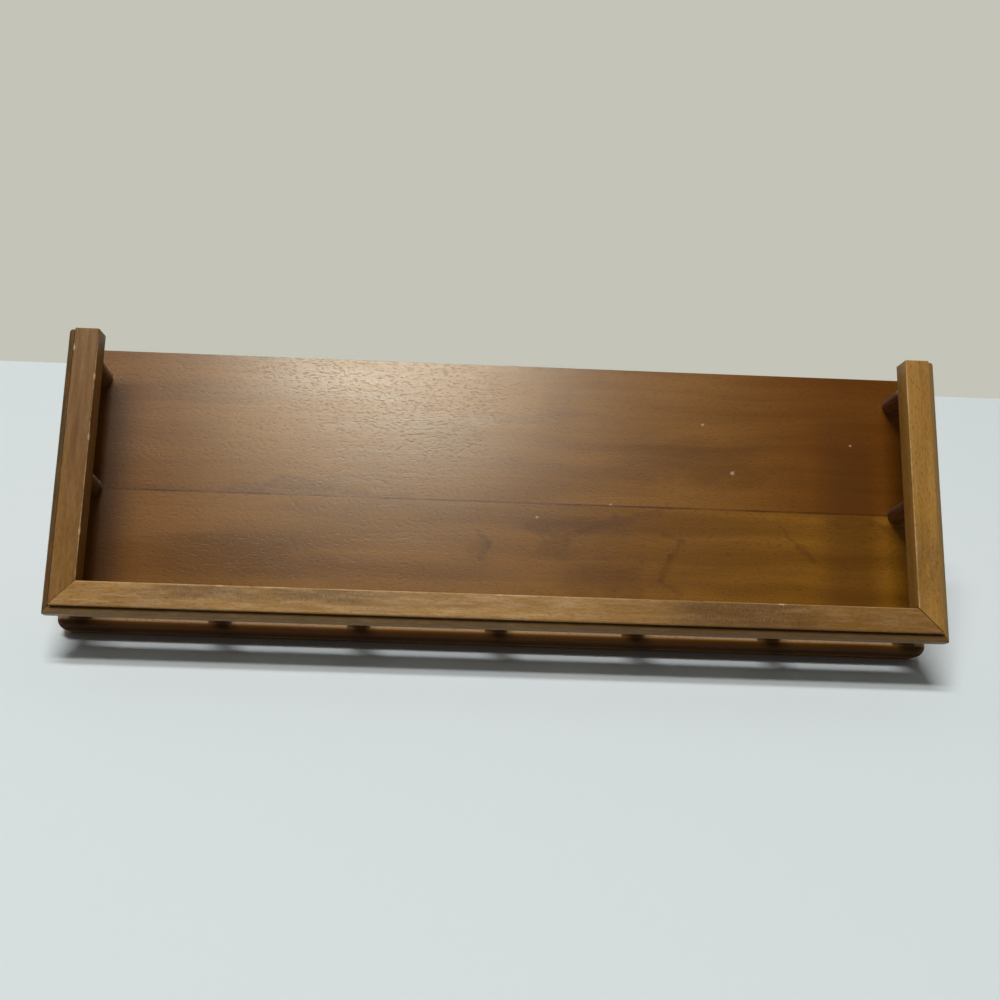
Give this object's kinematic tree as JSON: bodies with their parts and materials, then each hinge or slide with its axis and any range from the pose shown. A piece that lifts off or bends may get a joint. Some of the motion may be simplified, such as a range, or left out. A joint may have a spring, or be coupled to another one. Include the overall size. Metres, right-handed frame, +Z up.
{
  "type": "wall plate rack",
  "caption": "Wall-hung wooden plate rack: a flat back panel with a mitred, moulded guard rail standing off it on turned spindles, open at the top so that plates drop in behind the rail.",
  "frame": {"origin": "centre of the flat back face, on the wall plane", "axes": "+X to the right seen from the front, +Y towards the wall, +Z up"},
  "size_m": [0.664, 0.0735, 0.222],
  "materials": {
    "panel_wood": "satin stained, worn",
    "rail_wood": "satin stained, rubbed and grimy",
    "spindle_wood": "dark glossy stain",
    "hanger_steel": "zinc-plated, dull",
    "screw_steel": "zinc-plated, dull"
  },
  "bodies": {
    "root": {"panel_plank_upper": "panel_wood", "panel_plank_lower": "panel_wood", "rail_left": "rail_wood", "rail_bottom": "rail_wood", "rail_right": "rail_wood", "spindle_bottom_1": "spindle_wood", "spindle_bottom_2": "spindle_wood", "spindle_bottom_3": "spindle_wood", "spindle_bottom_4": "spindle_wood", "spindle_bottom_5": "spindle_wood", "spindle_bottom_6": "spindle_wood", "spindle_bottom_7": "spindle_wood", "spindle_left_1": "spindle_wood", "spindle_left_2": "spindle_wood", "spindle_right_1": "spindle_wood", "spindle_right_2": "spindle_wood", "hanger_plate_left": "hanger_steel", "hanger_plate_right": "hanger_steel", "hanger_screws_left": "screw_steel", "hanger_screws_right": "screw_steel"}
  },
  "joints": []
}
